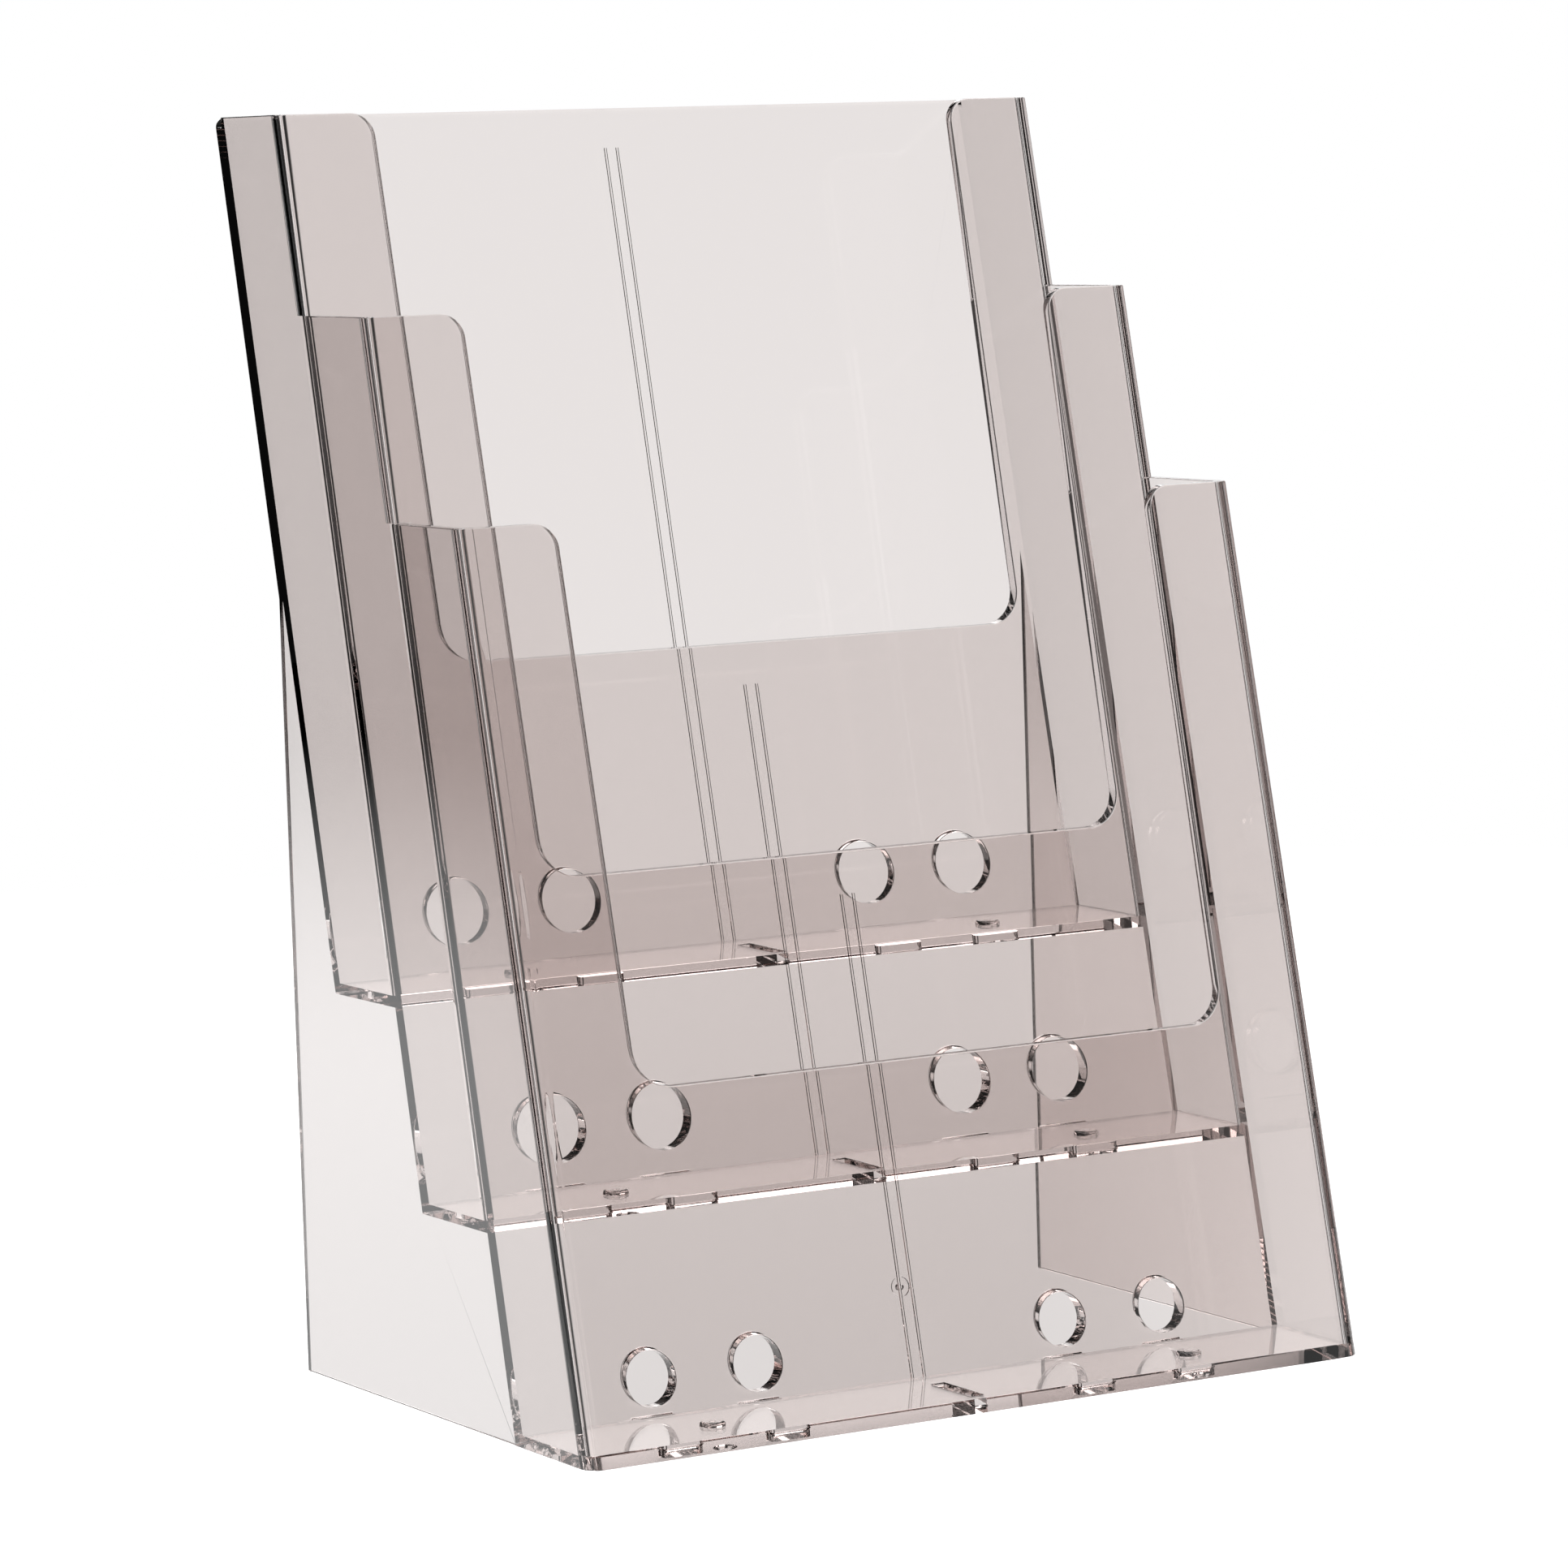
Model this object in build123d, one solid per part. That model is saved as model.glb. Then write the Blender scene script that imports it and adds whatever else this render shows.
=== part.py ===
from build123d import *
import os
from math import cos, radians, tan

# Three-tier counter-top brochure rack for A4 leaflets, clear polystyrene.
# Four parallel uprights lean back. Each neighbouring pair holds one pocket, and the pockets
# climb in equal steps from the front one, on the table, to the rear one, which is highest.
# +Z is up, +X is the rack's right as a reader faces it, and +Y runs from the front to the rear.
# The origin is on the table, under the middle of the whole rack.

WIDTH = 236.0           # outside width
WALL = 3.0              # side walls, floors, rear supports and front panel
REAR_WALL = 3.4         # rear panel
LIP_WALL = 2.8          # shared uprights at their top edge; they thicken downwards
LEAN = 12.8             # lean of the uprights from vertical, degrees
DRAFT = 0.35            # angle between the two faces of a shared upright, degrees
PITCH = 36.1            # from one upright's front face to the next, level
STEP = 52.9             # rise from one pocket's floor to the next
POCKET_HEIGHT = 232.8   # from a floor's underside to its pocket's top edge
UPPER_LIP = 87.0        # lowest point of the cut-out over its floor, middle and rear pockets
FRONT_LIP = 90.7        # the same on the front pocket
EAR_TOP = 27.8          # width of an ear at its top
EAR_FOOT = 28.8         # width of an ear where it meets the low wall
EAR_RADIUS = 6.5        # inner top corner of an ear
CUT_RADIUS = 10.0       # bottom corners of the cut-out
CORNER_RADIUS = 4.8     # outer vertical corners
INNER_RADIUS = 2.0      # inside corners
CORNER_STRIP = 5.5      # width of the front that belongs to the rounded corner
SUPPORT_BACK = 159.5    # rear supports' upright back edge, behind the front panel's foot
RAIL_GAP = 3.7          # between the two fine rails that hold a divider, centre to centre
RAIL_SIZE = 0.6         # width and height of a rail
RAIL_STOP = 11.0        # the rails stop this far below the edge above them
SLOT_LENGTH = 19.5      # slot in each floor for the divider's foot
SLOT_START = 3.7        # from the slot to the low wall in front of it
HOLE_INNER_X = 47.0     # round holes low in each pocket's back wall, two on each side
HOLE_OUTER_X = 78.7
HOLE_RADIUS = 8.8       # middle and rear pockets
HOLE_HEIGHT = 17.8      # over the floor's underside
FRONT_HOLE_RADIUS = 7.2
FRONT_HOLE_HEIGHT = 12.3
NOTCH_SKIN = 0.5        # least wall left in front of the notch in its foot, under each hole
NOTCH_TOP = 2.2         # top of the notch over the floor's underside
NOTCH_WIDTH = 0.82      # width of the notch, as a share of the hole over it
NOTCH_CORNER = 1.5
PIP_X = 73.0            # low round pips on each floor
PIP_START = 14.0        # from a pip's middle to the low wall in front of it
PIP_RADIUS = 3.4
PIP_HEIGHT = 1.2
GATE_RADIUS = 2.7       # moulding gate: a shallow dish with a stub in its middle
GATE_HEIGHT = 25.6

HALF = WIDTH / 2
SLOPE = tan(radians(LEAN))
REAR_SLOPE = tan(radians(LEAN - DRAFT))
TOP_Z = POCKET_HEIGHT + 2 * STEP
DEPTH = 3 * PITCH + TOP_Z * SLOPE + REAR_WALL / cos(radians(LEAN))
SHIFT = -DEPTH / 2


def top_z(tier):
    """Top edge of a pocket; tier 0 is the front one."""
    return POCKET_HEIGHT + tier * STEP


def front_y(upright, z):
    """Front face of an upright; 0 is the front panel and 3 the rear panel."""
    return SHIFT + upright * PITCH + z * SLOPE


def back_y(upright, z):
    """Rear face of an upright. The shared uprights are thicker at the foot."""
    if upright == 0:
        return front_y(0, z) + WALL / cos(radians(LEAN))
    if upright == 3:
        return front_y(3, z) + REAR_WALL / cos(radians(LEAN))
    lip = top_z(upright)
    return front_y(upright, lip) + LIP_WALL / cos(radians(LEAN)) - (lip - z) * REAR_SLOPE


def plate(points, x_from, x_to):
    """A flat plate from its outline in Y and Z, between two X positions."""
    outline = Polyline(*points, close=True)
    face = make_face(Plane.YZ.offset(x_from) * outline)
    return extrude(face, amount=x_to - x_from, dir=(1, 0, 0))


def through(shape, y_from=-DEPTH, y_to=DEPTH):
    """Runs an outline drawn in X and Z through the rack from front to rear."""
    face = Plane((0, y_from, 0), x_dir=(1, 0, 0), z_dir=(0, -1, 0)) * shape
    return extrude(face, amount=y_to - y_from, dir=(0, 1, 0))


def slab(upright, foot, top, x_from=-HALF, x_to=HALF):
    points = [
        (front_y(upright, foot), foot),
        (back_y(upright, foot), foot),
        (back_y(upright, top), top),
        (front_y(upright, top), top),
    ]
    return plate(points, x_from, x_to)


def corner_waste(upright, side, foot, top):
    """What is cut from an outer front corner to round it, along the lean."""
    square = Pos(side * (HALF - CORNER_RADIUS / 2 + 1), CORNER_RADIUS / 2 - 1) * Rectangle(
        CORNER_RADIUS + 2, CORNER_RADIUS + 2
    )
    round_part = Pos(side * (HALF - CORNER_RADIUS), CORNER_RADIUS) * Circle(CORNER_RADIUS)
    beyond = Pos(side * (HALF - CORNER_RADIUS / 2), CORNER_RADIUS / 2) * Rectangle(
        CORNER_RADIUS, CORNER_RADIUS
    )
    waste = square - (beyond & round_part) - Pos(
        side * (HALF - CORNER_RADIUS - 10), CORNER_RADIUS
    ) * Rectangle(20, 2 * CORNER_RADIUS + 4)
    waste = Pos(0, front_y(upright, foot), foot) * waste
    length = (top - foot) / cos(radians(LEAN))
    return extrude(waste, amount=length, dir=(0, SLOPE, 1))


def ear_outline(foot, lip, top):
    """Two tall ears and the low wall between them."""
    inner_top = HALF - EAR_TOP
    inner_foot = HALF - EAR_FOOT
    outline = Polyline(
        (-HALF - 1, foot),
        (HALF + 1, foot),
        (HALF + 1, top),
        (inner_top, top),
        (inner_foot, lip),
        (-inner_foot, lip),
        (-inner_top, top),
        (-HALF - 1, top),
        close=True,
    )
    face = make_face(outline)
    low = [v for v in face.vertices() if abs(v.Y - lip) < 0.01]
    face = fillet(low, CUT_RADIUS)
    high = [v for v in face.vertices() if abs(v.Y - top) < 0.01 and abs(v.X) < HALF]
    return fillet(high, EAR_RADIUS)


def rails(upright, tier, top):
    """Two fine rails up the middle of a pocket's back wall."""
    foot = tier * STEP + WALL
    points = [
        (front_y(upright, foot) - RAIL_SIZE, foot),
        (front_y(upright, foot) + 0.3, foot),
        (front_y(upright, top) + 0.3, top),
        (front_y(upright, top) - RAIL_SIZE, top),
    ]
    x_in = RAIL_GAP / 2 - RAIL_SIZE / 2
    x_out = RAIL_GAP / 2 + RAIL_SIZE / 2
    return plate(points, x_in, x_out) + plate(points, -x_out, -x_in)


def wall_holes(tier):
    """Four round holes low in a pocket's back wall, and a low notch in its foot under each.

    The notches are cut from the wall's rear face, behind the edge of the floor that it meets.
    """
    radius = FRONT_HOLE_RADIUS if tier == 0 else HOLE_RADIUS
    foot = tier * STEP
    height = foot + (FRONT_HOLE_HEIGHT if tier == 0 else HOLE_HEIGHT)
    notch_front = front_y(tier + 1, foot + NOTCH_TOP) + NOTCH_SKIN
    notch_back = back_y(tier + 1, foot + NOTCH_TOP) + 2 * NOTCH_CORNER
    notch = RectangleRounded(2 * radius * NOTCH_WIDTH, notch_back - notch_front, NOTCH_CORNER)
    notch_y = (notch_front + notch_back) / 2
    tools = []
    for x in (-HOLE_OUTER_X, -HOLE_INNER_X, HOLE_INNER_X, HOLE_OUTER_X):
        tools.append(through(Pos(x, height) * Circle(radius)))
        tools.append(extrude(Pos(x, notch_y, foot - 1) * notch, amount=NOTCH_TOP + 1))
    return tools


def front_upright(upright, lip):
    """A flat upright that closes the front of a pocket, cut out so the leaflets can be reached.

    The shared ones reach down, at full width, to the floor of the pocket in front of them.
    """
    floor = upright * STEP
    inner = HALF - CORNER_STRIP
    panel = slab(upright, floor, top_z(upright), -inner, inner)
    panel = panel & through(ear_outline(floor, lip, top_z(upright)))
    if upright > 0:
        panel = panel + slab(upright, floor - STEP, floor)
    return panel


def floor_plate(tier):
    """A plain level plate between two uprights and the side walls."""
    low = tier * STEP
    high = low + WALL
    points = [
        (back_y(tier, low), low),
        (front_y(tier + 1, low), low),
        (front_y(tier + 1, high), high),
        (back_y(tier, high), high),
    ]
    return plate(points, -HALF + WALL, HALF - WALL)


def pocket_floor(tier):
    """A level floor with a slot for the divider's foot and two pips."""
    low = tier * STEP
    high = low + WALL
    front = back_y(tier, high)
    slot_y = front + SLOT_START + SLOT_LENGTH / 2
    slot = Pos(0, slot_y, low + WALL / 2) * Box(RAIL_GAP, SLOT_LENGTH, 4 * WALL)
    floor = floor_plate(tier) - slot
    pip_y = front + PIP_START
    for side in (-1, 1):
        pip = Pos(side * PIP_X, pip_y, high + PIP_HEIGHT / 2 - 0.2) * Cylinder(
            PIP_RADIUS, PIP_HEIGHT + 0.4
        )
        pip = fillet(pip.edges().sort_by(Axis.Z)[-1], 0.8 * PIP_HEIGHT)
        dimple = Pos(side * PIP_X, pip_y, high + PIP_HEIGHT) * Cylinder(1.1, 1.4)
        floor = floor + pip - dimple
    return floor


def side_wall(tier, side):
    """A side wall and the rounded front corner that is moulded on to it."""
    low = tier * STEP
    top = top_z(tier)
    points = [
        (front_y(tier, low), low),
        (front_y(tier + 1, low), low),
        (front_y(tier + 1, top), top),
        (front_y(tier, top), top),
    ]
    x_from = min(side * HALF, side * (HALF - WALL))
    x_strip = min(side * HALF, side * (HALF - CORNER_STRIP))
    wall = plate(points, x_from, x_from + WALL)
    wall = wall + slab(tier, low, top, x_strip, x_strip + CORNER_STRIP)
    inside = [
        e
        for e in wall.edges().filter_by(GeomType.LINE)
        if abs(abs(e.center().X) - (HALF - WALL)) < 0.01
        and e.length > 0.9 * (top - low)
        and abs(e.center().Y - back_y(tier, e.center().Z)) < 0.05
    ]
    wall = fillet(inside, INNER_RADIUS) - floor_plate(tier)
    rounded_from = low - 1 if tier == 0 else top_z(tier - 1)
    return wall - corner_waste(tier, side, rounded_from, top + 1)


def rear_support(side):
    """Stepped plate under the middle and rear pockets, in line with the side walls."""
    back = SHIFT + SUPPORT_BACK
    foot = 2 * STEP
    meet = foot + (back - back_y(3, foot)) / SLOPE
    points = [
        (back, 0),
        (back, meet),
        (back_y(3, foot), foot),
        (back_y(2, foot), foot),
        (back_y(2, STEP), STEP),
        (back_y(1, STEP), STEP),
        (back_y(1, 0), 0),
    ]
    x_from = min(side * HALF, side * (HALF - WALL))
    return plate(points, x_from, x_from + WALL)


parts = {}

# Rear panel: plain sheet with slightly rounded top corners.
rear = slab(3, 2 * STEP, top_z(2))
outline = make_face(
    Polyline((-HALF, 2 * STEP - 1), (HALF, 2 * STEP - 1), (HALF, TOP_Z), (-HALF, TOP_Z), close=True)
)
upper = [v for v in outline.vertices() if abs(v.Y - TOP_Z) < 0.01]
rear = rear & through(fillet(upper, 3.0))
rear = rear + rails(3, 2, top_z(2) - RAIL_STOP)
parts["rear_panel"] = rear - wall_holes(2)

# Shared uprights between the pockets.
upper_panel = front_upright(2, 2 * STEP + UPPER_LIP)
upper_panel = upper_panel + rails(2, 1, 2 * STEP + UPPER_LIP - RAIL_STOP)
parts["upper_divider_panel"] = upper_panel - wall_holes(1)

lower_panel = front_upright(1, STEP + UPPER_LIP)
lower_panel = lower_panel + rails(1, 0, STEP + UPPER_LIP - RAIL_STOP)
lower_panel = lower_panel - wall_holes(0)
gate_y = back_y(1, GATE_HEIGHT)
dish = Pos(0, gate_y, GATE_HEIGHT) * Rot(90 - LEAN, 0, 0) * Cylinder(GATE_RADIUS, 1.2)
stub = Pos(0, gate_y, GATE_HEIGHT) * Rot(90 - LEAN, 0, 0) * Cylinder(0.9, 1.6)
parts["lower_divider_panel"] = lower_panel - dish + stub

parts["front_panel"] = front_upright(0, FRONT_LIP)

# Floors and side walls, one set for each pocket.
for tier, name in enumerate(["front", "middle", "rear"]):
    parts[name + "_pocket_floor"] = pocket_floor(tier)
    parts[name + "_left_wall"] = side_wall(tier, -1)
    parts[name + "_right_wall"] = side_wall(tier, 1)

parts["left_rear_support"] = rear_support(-1)
parts["right_rear_support"] = rear_support(1)

os.makedirs("parts", exist_ok=True)
for name, shape in parts.items():
    solids = shape.solids()
    print(name, len(solids), round(shape.volume, 1), shape.bounding_box())
    export_step(shape, "parts/" + name + ".step")
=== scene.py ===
import bpy
import bmesh
from math import copysign, cos, radians, sin
from mathutils import Matrix, Vector
from mathutils.bvhtree import BVHTree
from mathutils.geometry import intersect_line_line_2d


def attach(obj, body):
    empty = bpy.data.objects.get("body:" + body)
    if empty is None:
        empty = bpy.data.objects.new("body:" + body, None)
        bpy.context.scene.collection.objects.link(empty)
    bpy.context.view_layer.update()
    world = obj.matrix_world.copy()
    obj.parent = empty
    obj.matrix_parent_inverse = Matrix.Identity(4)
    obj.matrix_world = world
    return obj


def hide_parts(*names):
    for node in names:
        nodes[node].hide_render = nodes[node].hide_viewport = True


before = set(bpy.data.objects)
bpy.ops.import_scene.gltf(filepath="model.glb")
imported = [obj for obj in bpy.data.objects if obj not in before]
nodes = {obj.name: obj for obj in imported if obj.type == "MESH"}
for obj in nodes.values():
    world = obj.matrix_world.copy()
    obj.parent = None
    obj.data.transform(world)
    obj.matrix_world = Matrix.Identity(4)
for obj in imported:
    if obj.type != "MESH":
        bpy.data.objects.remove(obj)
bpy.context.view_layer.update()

# Joining the CAD's walls.
DOUBLE_DISTANCE = 1e-7      # corners this close are one corner
CONTACT_GAP = 2e-6          # faces closer than this touch
CONTACT_OVERLAP = 5e-6      # how far a touching wall is run into its neighbour
FACING = 0.9                # least cosine between directions that count as the same
WELD_DISTANCES = (2e-6, 3e-6, 1e-6, 6e-6)   # tried in turn, until the joined mesh has no folds
FLAT_ANGLE = radians(0.3)   # faces at less than this are one face

# Rounding the edges.
EDGE_RADIUS = 0.00035       # rounding that moulding leaves on outer edges
EDGE_SEGMENTS = 3
NARROW = 0.0015             # faces narrower than this keep their edges
SHARP_ANGLE = radians(33)   # edges with more than this are edges, not parts of a curve
FOLD_ANGLE = radians(110)   # neighbouring faces with more than this are folded over
AREA_SLACK = 0.01           # triangles may cover this much more than their face, and AREA_LEAST
AREA_LEAST = 5e-8
FAULT_REACH = 3             # edges within this many radii of a fault stay unrounded
ROUNDING_TRIES = 5

# The plastic: tint for each surface crossed, refraction and absorption.
TINT = (0.908, 0.868, 0.857, 1)
REFRACTION = 1.59
ABSORBED = (0.6, 0.5, 0.48, 1)
ABSORPTION_DENSITY = 18.0
WAVE_STRETCH = (1.0, 1.0, 0.35)     # flow waviness is drawn out along the height
WAVE_SCALE = 25             # about 40 mm from crest to crest
WAVE_DEPTH = 0.000008
HAZE_SCALE = 18
HAZE = (0.5, 0.75, 0.0, 0.012)      # roughness against noise

# The studio, seen from the rack. Each step goes from one level to another between two places:
# start, end, level before, level after.
VIEW = radians(30)          # the way the camera looks, from +Y towards +X
WINDOW_STEP = radians(45)
GAP_LEVEL = 0.02            # brightness between windows
WINDOW_EDGE = (radians(9), radians(13), 1.0, GAP_LEVEL)     # by turn from a window's middle
LOW_WINDOW_TOP = (0.14, 0.25, 1.0, GAP_LEVEL)               # these by rise, the sine of elevation
TALL_WINDOW_MIDDLE = (0.03, 0.12, 1.0, 1.25)
TALL_WINDOW_UPPER = (0.2, 0.32, 1.0, 3.2)
TALL_WINDOW_TOP = (0.48, 0.54, 1.0, 0.0)
WINDOW_FOOT = (-0.22, -0.12, 0.9, 1.0)
OVERHEAD = (0.62, 0.75, 0.0, 2.2)
BELOW = (-0.6, -0.5, 1.0, 0.0)
PAINTED_TABLE_LIGHT = (0.6, 2.0, 1.6, 0.0)   # painted pool of light on the table, by distance from the rack, in metres
FLOOR_RADIUS = 2.5
FLOOR_SIDES = 96
FLOOR_DROP = 0.0004         # keeps the floor clear of the rack's underside

# The camera, fitted to the photograph.
AZIMUTH, ELEVATION, ROLL = radians(30.15), radians(5.922), radians(-1.656)
CAMERA_PLACE = (-0.81207, -1.39575, 0.32349)
SENSOR = 36
LENS = 138.57
CLIP_END = 50
BOUNCES = 32
GLOSSY_BOUNCES = 16


def welded(mesh):
    """A CAD mesh with its doubled corners joined."""
    bm = bmesh.new()
    bm.from_mesh(mesh)
    bmesh.ops.remove_doubles(bm, verts=bm.verts, dist=DOUBLE_DISTANCE)
    bm.normal_update()
    return bm


def overlap_contacts(shells):
    """Lets floors, side walls and supports run a few microns into the uprights they touch."""
    trees = {name: BVHTree.FromBMesh(bm) for name, bm in shells.items()}
    for name, bm in shells.items():
        if name.endswith("panel"):
            continue
        moves = {}
        for face in bm.faces:
            if abs(face.normal.y) < FACING:
                continue
            middle = face.calc_center_median()
            for other, tree in trees.items():
                place, normal, _, _ = tree.find_nearest(middle, CONTACT_GAP)
                if other != name and place is not None and normal.dot(face.normal) < -FACING:
                    for vert in face.verts:
                        moves[vert] = copysign(CONTACT_OVERLAP, face.normal.y)
        for vert, move in moves.items():
            vert.co.y += move


def fuse(names):
    """Joins touching walls into the one clear moulding that they are, with no seams inside."""
    shells = {name: welded(nodes[name].data) for name in names}
    overlap_contacts(shells)
    tools = bpy.data.collections.new("fuse_tools")
    parts = []
    for name, bm in shells.items():
        mesh = bpy.data.meshes.new("fuse_" + name)
        bm.to_mesh(mesh)
        bm.free()
        parts.append(bpy.data.objects.new("fuse_" + name, mesh))
    base = parts[0]
    bpy.context.scene.collection.objects.link(base)
    for part in parts[1:]:
        tools.objects.link(part)
    union = base.modifiers.new("union", "BOOLEAN")
    union.operation = "UNION"
    union.operand_type = "COLLECTION"
    union.collection = tools
    union.solver = "MANIFOLD"
    mesh = evaluated_mesh(base)
    for part in parts:
        bpy.data.objects.remove(part)
    bpy.data.collections.remove(tools)
    for distance in WELD_DISTANCES:
        tidied = tidy(mesh, distance)
        if not fold_places(tidied):
            break
    return tidied


def tidy(mesh, distance):
    """The mesh with its close corners welded and its flat faces made whole."""
    bm = bmesh.new()
    bm.from_mesh(mesh)
    bmesh.ops.remove_doubles(bm, verts=bm.verts, dist=distance)
    bmesh.ops.dissolve_limit(
        bm, angle_limit=FLAT_ANGLE, verts=bm.verts, edges=bm.edges, use_dissolve_boundaries=False
    )
    tidied = bpy.data.meshes.new("tidied")
    bm.to_mesh(tidied)
    bm.free()
    return tidied


def evaluated_mesh(thing):
    """The mesh that an object's modifiers make."""
    graph = bpy.context.evaluated_depsgraph_get()
    return bpy.data.meshes.new_from_object(thing.evaluated_get(graph), depsgraph=graph)


def reach(edge, face):
    """How far a face reaches from one of its edges."""
    start = edge.verts[0].co
    along = (edge.verts[1].co - start).normalized()
    offsets = [vert.co - start for vert in face.verts]
    return max((offset - along * offset.dot(along)).length for offset in offsets)


def with_modifiers(mesh):
    """The mesh with its weighted edges rounded, and normals that keep flat faces flat."""
    thing = bpy.data.objects.new("rounding", mesh)
    bpy.context.scene.collection.objects.link(thing)
    bevel = thing.modifiers.new("rounded_edges", "BEVEL")
    bevel.limit_method = "WEIGHT"
    bevel.width = EDGE_RADIUS
    bevel.segments = EDGE_SEGMENTS
    bevel.use_clamp_overlap = False
    normals = thing.modifiers.new("flat_faces", "WEIGHTED_NORMAL")
    normals.keep_sharp = True
    made = evaluated_mesh(thing)
    bpy.data.objects.remove(thing)
    return made


def fold_places(mesh):
    """Where neighbouring faces fold back on each other."""
    bm = bmesh.new()
    bm.from_mesh(mesh)
    bm.normal_update()
    places = []
    for edge in bm.edges:
        if not edge.is_manifold or abs(edge.calc_face_angle_signed(0)) > FOLD_ANGLE:
            places.append((edge.verts[0].co + edge.verts[1].co) / 2)
    bm.free()
    return places


def crossed_places(mesh):
    """Where a face's outline runs over itself, so that its triangles cover more than the face."""
    mesh.calc_loop_triangles()
    covered = [0.0] * len(mesh.polygons)
    for triangle in mesh.loop_triangles:
        covered[triangle.polygon_index] += triangle.area
    places = []
    for polygon in mesh.polygons:
        if covered[polygon.index] < polygon.area * (1 + AREA_SLACK) + AREA_LEAST:
            continue
        flat = polygon.normal.to_track_quat("Z", "Y").inverted()
        corners = [mesh.vertices[index].co for index in polygon.vertices]
        outline = [(flat @ corner).to_2d() for corner in corners]
        for i in range(len(outline)):
            for j in range(i + 2, len(outline) - (i == 0)):
                ends = outline[i - 1], outline[i], outline[j - 1], outline[j]
                if intersect_line_line_2d(*ends):
                    places += [corners[i], corners[i - 1]]
    return places


def rounded(mesh):
    """Rounds the outer edges a little, as moulding leaves them, except where that makes faults."""
    bm = bmesh.new()
    bm.from_mesh(mesh)
    weight = bm.edges.layers.float.new("bevel_weight_edge")
    for edge in bm.edges:
        angle = edge.calc_face_angle_signed(0)
        edge.smooth = abs(angle) < SHARP_ANGLE
        if angle > SHARP_ANGLE and min(reach(edge, face) for face in edge.link_faces) > NARROW:
            edge[weight] = 1.0
    for face in bm.faces:
        face.smooth = True
    for _ in range(ROUNDING_TRIES):
        bm.to_mesh(mesh)
        made = with_modifiers(mesh)
        faults = fold_places(made) + crossed_places(made)
        near = [
            edge
            for edge in bm.edges
            if edge[weight] > 0
            and any(
                (vert.co - fault).length < FAULT_REACH * EDGE_RADIUS
                for vert in edge.verts
                for fault in faults
            )
        ]
        if not near:
            break
        for edge in near:
            edge[weight] = 0.0
    bm.free()
    return made


def node(tree, kind, **settings):
    made = tree.nodes.new(kind)
    for key, value in settings.items():
        setattr(made, key, value)
    return made


def smooth(tree, value, start, end, low, high):
    """A smooth step of a socket's value, from low at start to high at end."""
    step = node(tree, "ShaderNodeMapRange", interpolation_type="SMOOTHSTEP")
    step.inputs["From Min"].default_value = start
    step.inputs["From Max"].default_value = end
    step.inputs["To Min"].default_value = low
    step.inputs["To Max"].default_value = high
    tree.links.new(value, step.inputs["Value"])
    return step.outputs["Result"]


def compute(tree, operation, *values):
    """What Math nodes make of numbers and sockets, taken two at a time from the left."""
    first, *others = values
    for other in others:
        made = node(tree, "ShaderNodeMath", operation=operation)
        for socket, value in zip(made.inputs, (first, other)):
            if isinstance(value, (int, float)):
                socket.default_value = value
            else:
                tree.links.new(value, socket)
        first = made.outputs[0]
    return first


def noise(tree, place, scale, detail):
    texture = node(tree, "ShaderNodeTexNoise")
    texture.inputs["Scale"].default_value = scale
    texture.inputs["Detail"].default_value = detail
    tree.links.new(place, texture.inputs["Vector"])
    return texture.outputs["Fac"]


def clear_plastic():
    """Clear, slightly warm grey polystyrene: polished, with faint moulding waviness and haze."""
    mat = bpy.data.materials.new("clear_polystyrene")
    mat.use_nodes = True
    tree = mat.node_tree
    tree.nodes.clear()
    out = node(tree, "ShaderNodeOutputMaterial")
    shader = node(tree, "ShaderNodeBsdfPrincipled")
    shader.inputs["Base Color"].default_value = TINT
    shader.inputs["Transmission Weight"].default_value = 1.0
    shader.inputs["IOR"].default_value = REFRACTION
    place = node(tree, "ShaderNodeTexCoord").outputs["Object"]

    drawn_out = node(tree, "ShaderNodeMapping")
    drawn_out.inputs["Scale"].default_value = WAVE_STRETCH
    tree.links.new(place, drawn_out.inputs["Vector"])
    wavy = node(tree, "ShaderNodeBump")
    wavy.inputs["Strength"].default_value = 1.0
    wavy.inputs["Distance"].default_value = WAVE_DEPTH
    waves = noise(tree, drawn_out.outputs["Vector"], WAVE_SCALE, 1)
    tree.links.new(waves, wavy.inputs["Height"])
    tree.links.new(wavy.outputs["Normal"], shader.inputs["Normal"])

    # Handling leaves a faint haze in patches.
    haze = smooth(tree, noise(tree, place, HAZE_SCALE, 4), *HAZE)
    tree.links.new(haze, shader.inputs["Roughness"])

    volume = node(tree, "ShaderNodeVolumeAbsorption")
    volume.inputs["Color"].default_value = ABSORBED
    volume.inputs["Density"].default_value = ABSORPTION_DENSITY
    tree.links.new(shader.outputs["BSDF"], out.inputs["Surface"])
    tree.links.new(volume.outputs["Volume"], out.inputs["Volume"])
    return mat


def white_to_camera(tree, level):
    """A brightness that the camera itself sees as at least white."""
    path = node(tree, "ShaderNodeLightPath")
    return compute(tree, "MAXIMUM", level, path.outputs["Is Camera Ray"])


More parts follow.
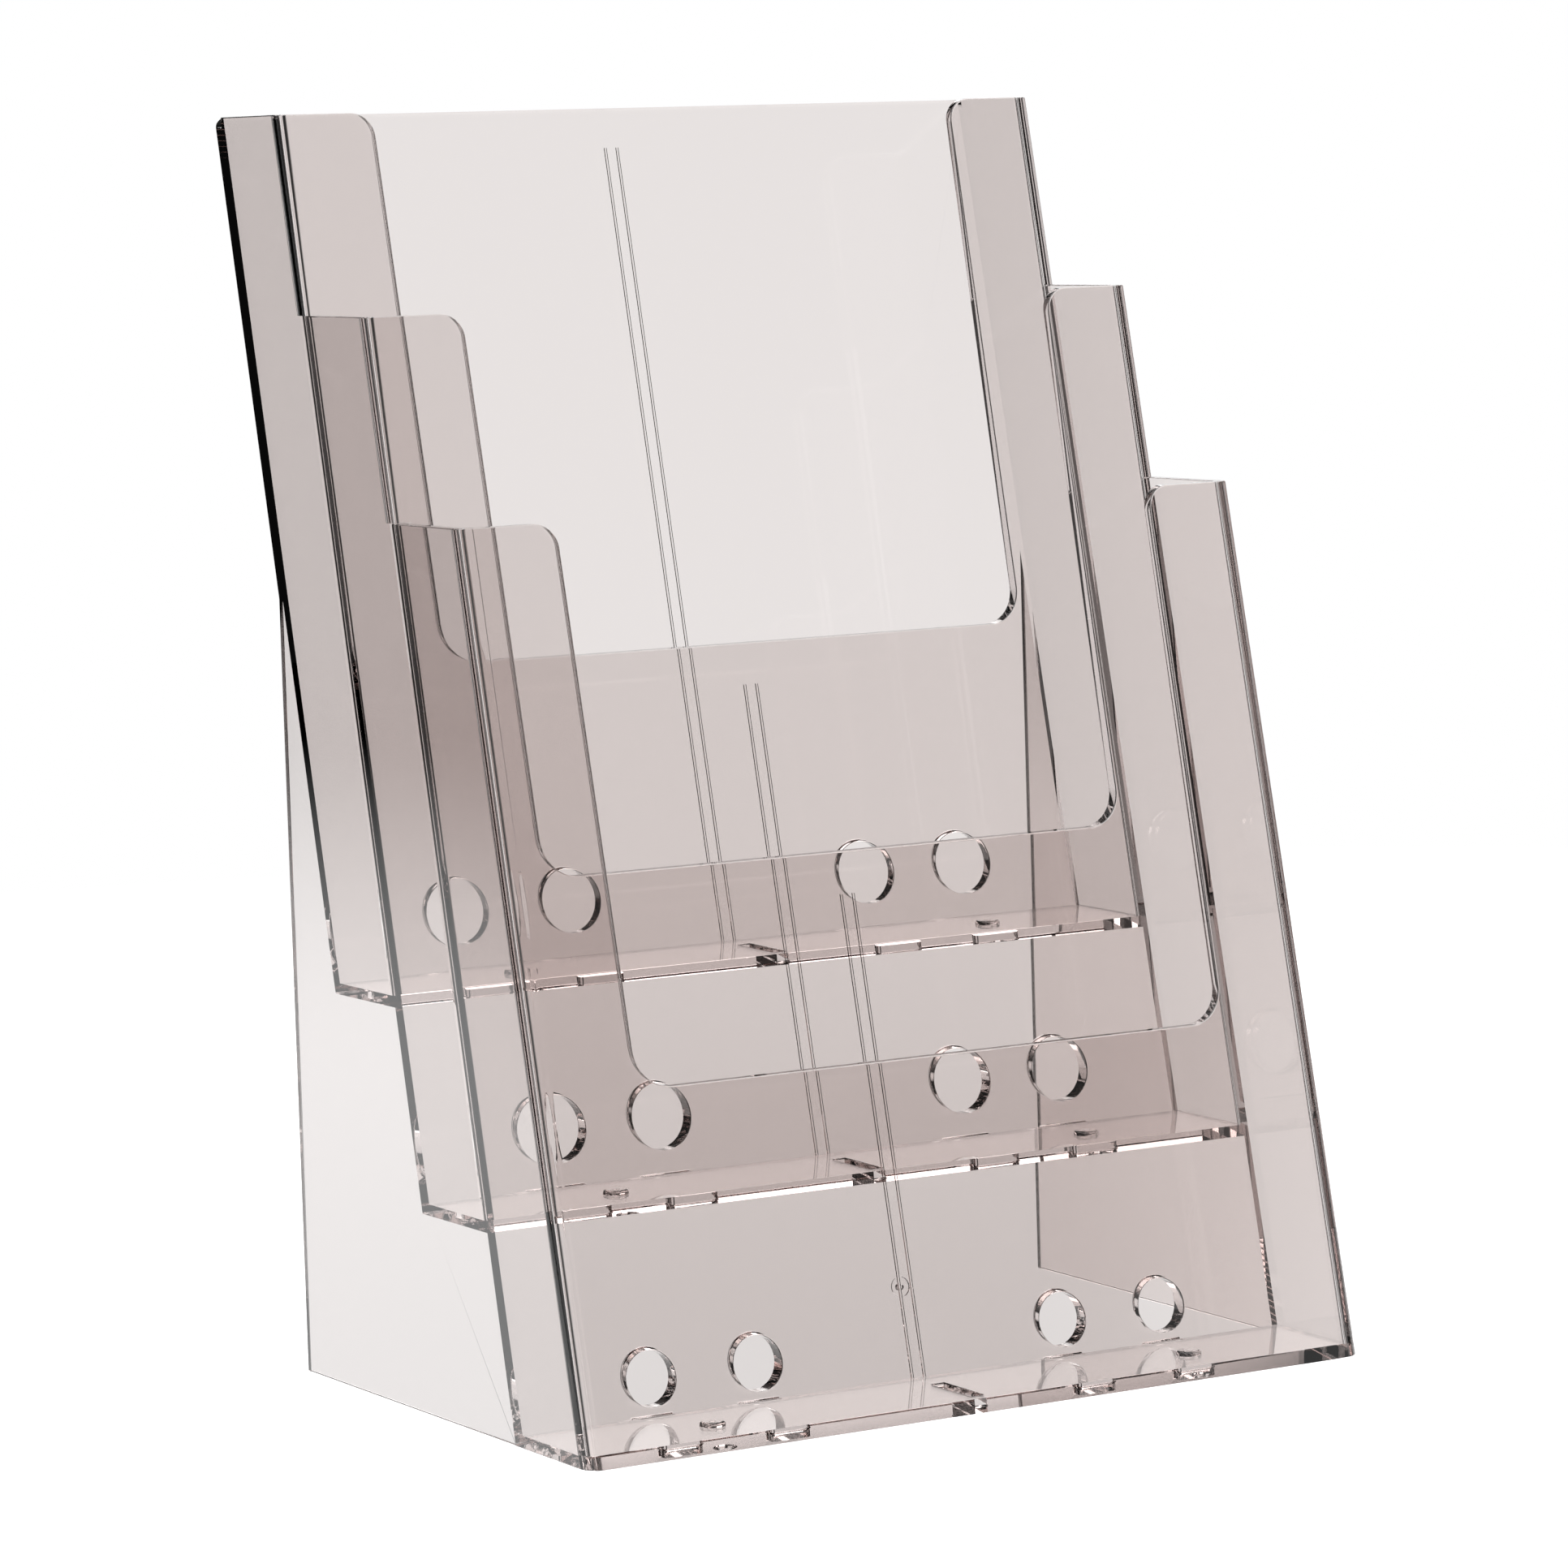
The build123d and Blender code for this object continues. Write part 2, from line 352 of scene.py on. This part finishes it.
def room_level(tree, direction):
    """Brightness by direction: a tall window behind the rack, and low ones all round."""
    split = node(tree, "ShaderNodeSeparateXYZ")
    tree.links.new(direction, split.inputs[0])
    rise = split.outputs["Z"]
    turn = compute(tree, "ARCTAN2", split.outputs["X"], split.outputs["Y"])
    off_step = compute(tree, "PINGPONG", turn, WINDOW_STEP / 2)
    off_view = compute(tree, "ABSOLUTE", compute(tree, "SUBTRACT", turn, VIEW), 0.0)
    around = compute(
        tree, "MULTIPLY", smooth(tree, off_step, *WINDOW_EDGE), smooth(tree, rise, *LOW_WINDOW_TOP)
    )
    behind = compute(
        tree,
        "MULTIPLY",
        smooth(tree, off_view, *WINDOW_EDGE),
        smooth(tree, rise, *TALL_WINDOW_MIDDLE),
        smooth(tree, rise, *TALL_WINDOW_UPPER),
        smooth(tree, rise, *TALL_WINDOW_TOP),
    )
    windows = compute(
        tree,
        "MULTIPLY",
        compute(tree, "MAXIMUM", around, behind),
        smooth(tree, rise, *WINDOW_FOOT),
    )
    overhead = smooth(tree, rise, *OVERHEAD)
    below = smooth(tree, rise, *BELOW)
    return compute(tree, "MAXIMUM", windows, overhead, below)


# The rack: the CAD's walls as one clear moulding.
moulding = rounded(fuse(sorted(nodes)))
moulding.name = "clear_rack"
moulding.materials.clear()
moulding.materials.append(clear_plastic())
for polygon in moulding.polygons:
    polygon.material_index = 0
rack = bpy.data.objects.new("clear_rack", moulding)
bpy.context.scene.collection.objects.link(rack)
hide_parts(*sorted(nodes))
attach(rack, "root")

# Floor: a pale table top, seen as plain white by the camera. Its glow is painted light, a pool
# brightest near the rack that the walls reflect;
# # it isn't seen through them, so that no horizon crosses the rack.
bm = bmesh.new()
bmesh.ops.create_circle(bm, cap_ends=True, segments=FLOOR_SIDES, radius=FLOOR_RADIUS)
floor_mesh = bpy.data.meshes.new("studio_floor")
bm.to_mesh(floor_mesh)
bm.free()
floor = bpy.data.objects.new("studio_floor", floor_mesh)
floor.location.z = -FLOOR_DROP
floor.visible_transmission = False
bpy.context.scene.collection.objects.link(floor)
pale = bpy.data.materials.new("pale_floor_painted_light")
pale.use_nodes = True
tree = pale.node_tree
tree.nodes.clear()
out = node(tree, "ShaderNodeOutputMaterial")
glow = node(tree, "ShaderNodeEmission")
length = node(tree, "ShaderNodeVectorMath", operation="LENGTH")
tree.links.new(node(tree, "ShaderNodeTexCoord").outputs["Object"], length.inputs[0])
# Painted light: the table's emission falls from bright near the rack to nothing 2 m out, as if
# lit.
painted_table_light = smooth(tree, length.outputs["Value"], *PAINTED_TABLE_LIGHT)
tree.links.new(white_to_camera(tree, painted_table_light), glow.inputs["Strength"])
tree.links.new(glow.outputs[0], out.inputs["Surface"])
floor_mesh.materials.append(pale)

# Room: the windows with a dark wall over them, a soft light overhead and the pale table below.
world = bpy.data.worlds.new("studio")
world.use_nodes = True
tree = world.node_tree
background = tree.nodes["Background"]
background.inputs["Color"].default_value = (1, 1, 1, 1)
level = room_level(tree, node(tree, "ShaderNodeTexCoord").outputs["Generated"])
tree.links.new(white_to_camera(tree, level), background.inputs["Strength"])
scene = bpy.context.scene
scene.world = world
scene.view_settings.view_transform = "Standard"

# Camera: from the rack's left front, a little above it, with a slight roll.
forward = Vector((sin(AZIMUTH) * cos(ELEVATION), cos(AZIMUTH) * cos(ELEVATION), -sin(ELEVATION)))
right = Vector((cos(AZIMUTH), -sin(AZIMUTH), 0))
up = right.cross(forward)
rolled_right = cos(ROLL) * right + sin(ROLL) * up
rolled_up = -sin(ROLL) * right + cos(ROLL) * up
camera_data = bpy.data.cameras.new("camera")
camera_data.sensor_width = SENSOR
camera_data.lens = LENS
camera_data.dof.use_dof = False
camera_data.clip_end = CLIP_END
camera = bpy.data.objects.new("camera", camera_data)
turned = Matrix((rolled_right, rolled_up, -forward)).transposed()
camera.matrix_world = Matrix.Translation(Vector(CAMERA_PLACE)) @ turned.to_4x4()
scene.collection.objects.link(camera)
scene.camera = camera

# Light has to get through many walls.
scene.cycles.max_bounces = BOUNCES
scene.cycles.transmission_bounces = BOUNCES
scene.cycles.transparent_max_bounces = BOUNCES
scene.cycles.glossy_bounces = GLOSSY_BOUNCES
scene.cycles.caustics_reflective = True
scene.cycles.caustics_refractive = True
